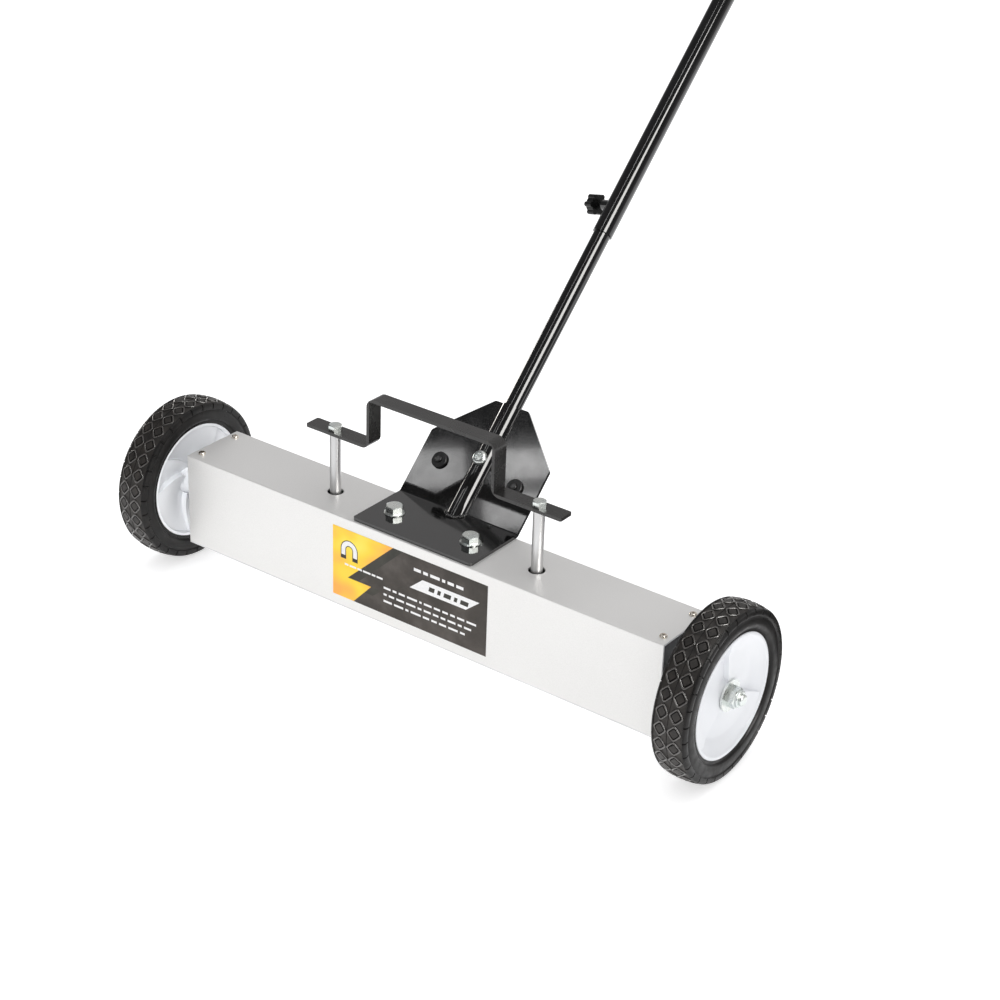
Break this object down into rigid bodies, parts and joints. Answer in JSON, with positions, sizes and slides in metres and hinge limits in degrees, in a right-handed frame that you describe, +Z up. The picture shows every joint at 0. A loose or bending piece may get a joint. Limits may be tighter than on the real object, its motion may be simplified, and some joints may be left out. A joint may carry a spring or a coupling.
{
  "type": "magnetic nail sweeper",
  "caption": "Walk-behind magnetic nail sweeper: silver bar housing on two wheels, strap handle that lifts the magnet to drop its catch, and a leaning telescopic handle.",
  "frame": {"origin": "centre of the housing's flat underside, midway between the two wheels", "axes": "+X along the housing from the left wheel to the right wheel, +Y backwards, the way the handle leans, +Z up"},
  "size_m": [0.7486, 0.828, 0.8275],
  "materials": {
    "anodised_aluminium": "satin silver anodised, fine grain",
    "cover_steel": "plain stainless sheet",
    "black_end_plate": "satin black paint",
    "nickel_screw": "nickel plated pan-head screws",
    "zinc": "bright zinc plating, slightly blue",
    "gloss_black_paint": "high-gloss black powder coat",
    "strap_black_paint": "satin black paint",
    "post_aluminium": "drawn bright rod",
    "label_print": null,
    "black_screw": "blackened steel screws",
    "black_rubber": "moulded black rubber",
    "grip_foam": "ribbed black rubber grip",
    "knob_plastic": "moulded black plastic",
    "hub_plastic": "glossy white moulded plastic",
    "bush_plastic": "natural acetal",
    "tyre_rubber": "black rubber, diamond tread",
    "channel_steel": "grey primed steel",
    "ferrite": "dark grey sintered ferrite"
  },
  "bodies": {
    "chassis": {"housing_shell": "anodised_aluminium", "bottom_cover": "cover_steel", "end_plate_left": "black_end_plate", "end_plate_right": "black_end_plate", "end_screws": "nickel_screw", "cover_screws": "nickel_screw", "front_label": "label_print", "handle_bracket": "gloss_black_paint", "bracket_bolts": "zinc", "bracket_nuts": "zinc", "bumper_discs": "black_rubber", "bumper_screws": "black_screw", "bumper_nuts": "zinc", "handle_socket": "gloss_black_paint", "lower_tube": "gloss_black_paint", "socket_bolt": "zinc", "socket_nut": "zinc", "axle_bolt_left": "zinc", "axle_bolt_right": "zinc", "axle_spacer_left": "zinc", "axle_spacer_right": "zinc", "wheel_washer_left": "zinc", "wheel_washer_right": "zinc", "lock_nut_left": "zinc", "lock_nut_right": "zinc"},
    "lift_carriage": {"lift_strap": "strap_black_paint", "lift_bolts": "zinc", "lift_post_left": "post_aluminium", "lift_post_right": "post_aluminium", "magnet_channel": "channel_steel", "magnets": "ferrite", "post_nuts": "zinc"},
    "telescopic_handle": {"upper_tube": "gloss_black_paint", "tee_bar": "gloss_black_paint", "grip_left": "grip_foam", "grip_right": "grip_foam", "clamp_boss": "gloss_black_paint"},
    "clamp_knob": {"knob_head": "knob_plastic", "knob_screw": "black_screw"},
    "left_wheel": {"hub_left": "hub_plastic", "hub_bush_left": "bush_plastic", "tyre_left": "tyre_rubber"},
    "right_wheel": {"hub_right": "hub_plastic", "hub_bush_right": "bush_plastic", "tyre_right": "tyre_rubber"}
  },
  "joints": [
    {"name": "magnet_lift", "type": "slide", "parent": "chassis", "child": "lift_carriage", "axis": [0, 0, 1], "range_m": [-0.055, 0]},
    {"name": "handle_telescope", "type": "slide", "parent": "chassis", "child": "telescopic_handle", "axis": [0, 0.7145, 0.6997], "range_m": [-0.205, 0.16]},
    {"name": "clamp_turn", "type": "hinge", "parent": "telescopic_handle", "child": "clamp_knob", "pos_m": [-0.01879, 0.31184, 0.36319], "axis": [-0.9397, 0.2393, -0.2444], "range_deg": [0, 360]},
    {"name": "left_wheel_spin", "type": "hinge", "parent": "chassis", "child": "left_wheel", "pos_m": [-0.345, 0, 0.05285], "axis": [1, 0, 0], "continuous": true},
    {"name": "right_wheel_spin", "type": "hinge", "parent": "chassis", "child": "right_wheel", "pos_m": [0.345, 0, 0.05285], "axis": [1, 0, 0], "continuous": true}
  ]
}
